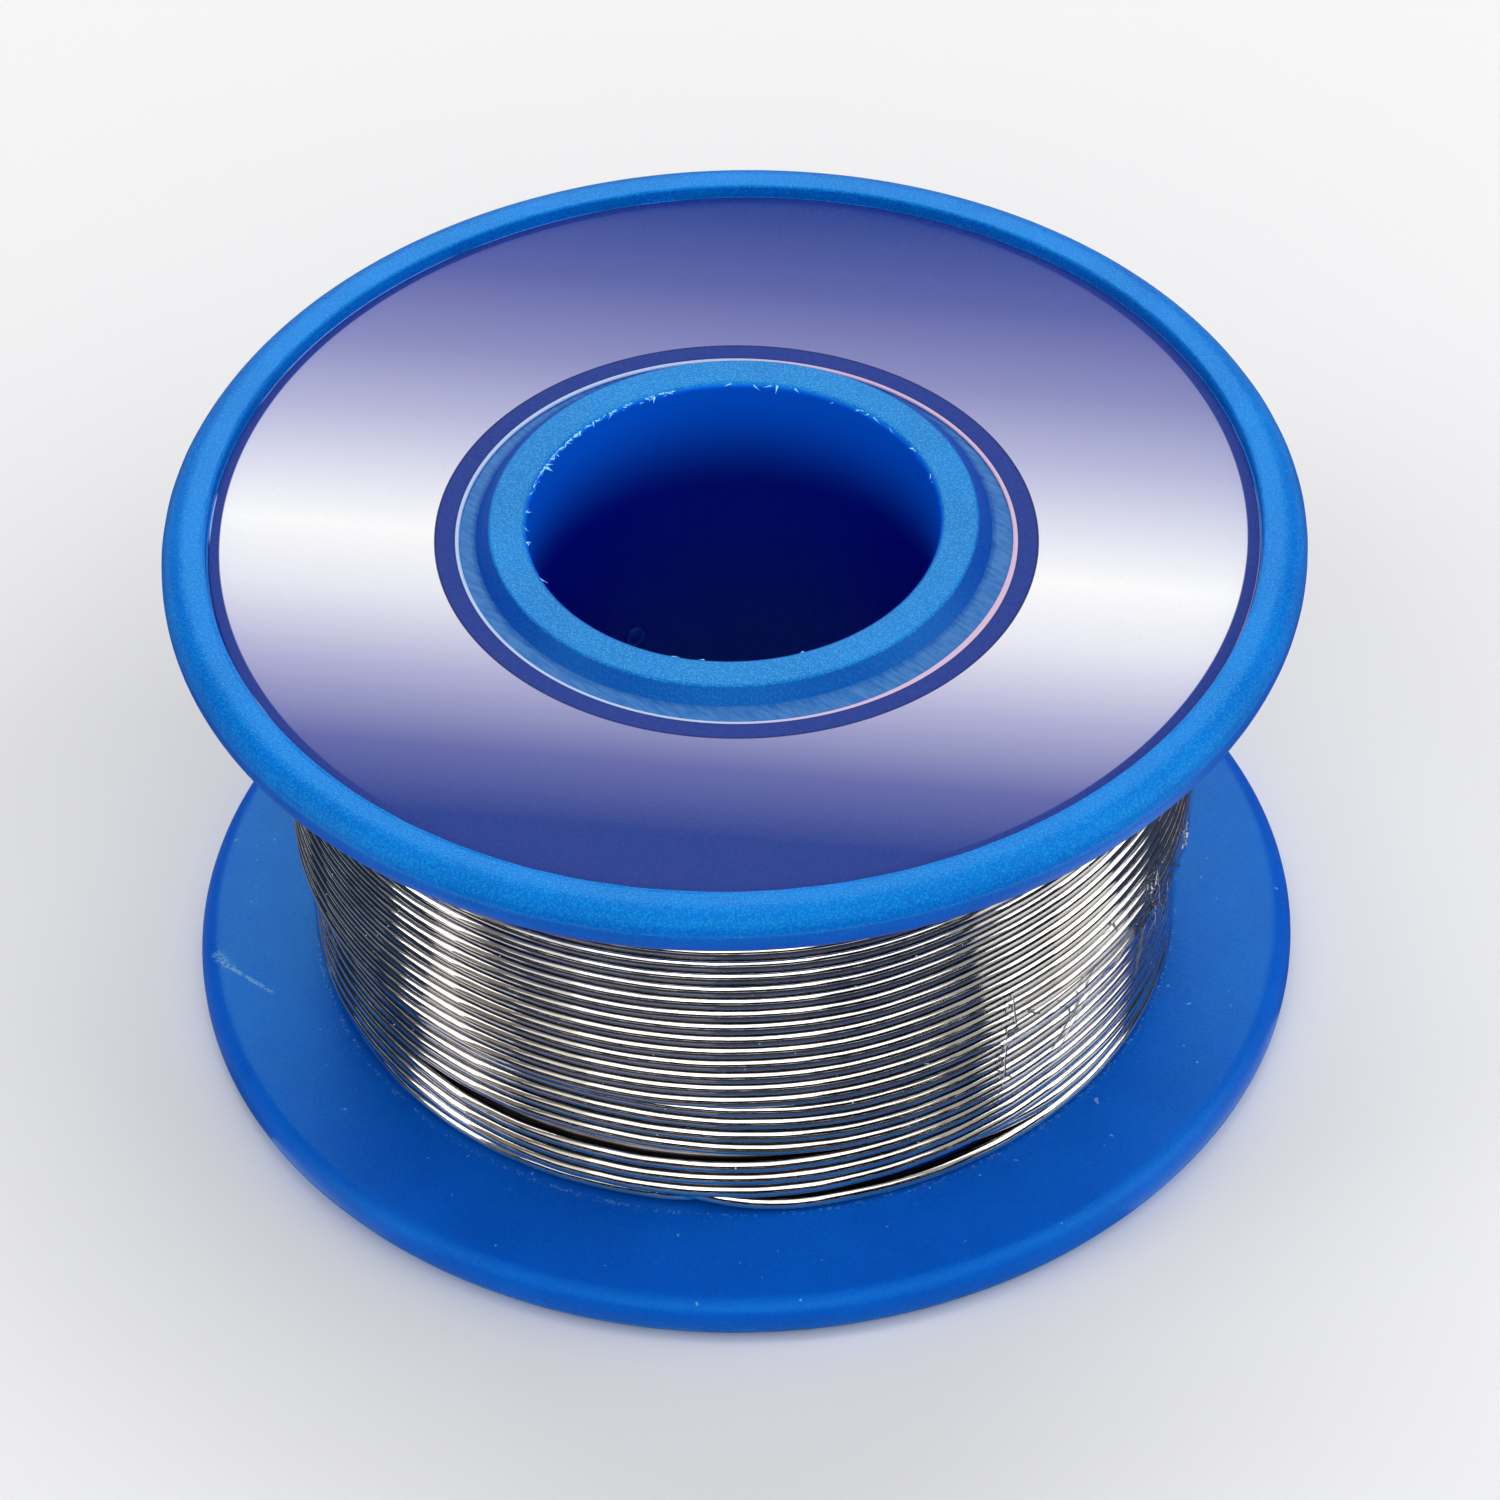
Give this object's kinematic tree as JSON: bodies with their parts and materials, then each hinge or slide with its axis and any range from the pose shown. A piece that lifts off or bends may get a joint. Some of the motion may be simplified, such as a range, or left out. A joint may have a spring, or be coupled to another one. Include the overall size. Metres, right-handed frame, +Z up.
{
  "type": "solder wire spool",
  "caption": "Moulded flanged spool with an open spindle bore and a face label, wound with fine solder wire whose free end is held down by clear tape.",
  "frame": {"origin": "on the spool's axis, in the plane of the lower flange's rim that the spool stands on", "axes": "+Z up along the spool's axis towards the labelled flange, -Y towards the picture's camera, the taped wire end between -Y and +X"},
  "size_m": [0.043, 0.043, 0.0222],
  "materials": {
    "spool_plastic": "satin moulded blue",
    "label_print": "printed gradient, satin film",
    "solder_wire": "bright drawn tin-lead alloy",
    "tape_film": "clear glossy film"
  },
  "bodies": {
    "root": {"spool": "spool_plastic", "face_label": "label_print", "solder_inner_layers": "solder_wire", "solder_lower_layer": "solder_wire", "solder_top_layer": "solder_wire", "end_tape": "tape_film"}
  },
  "joints": []
}
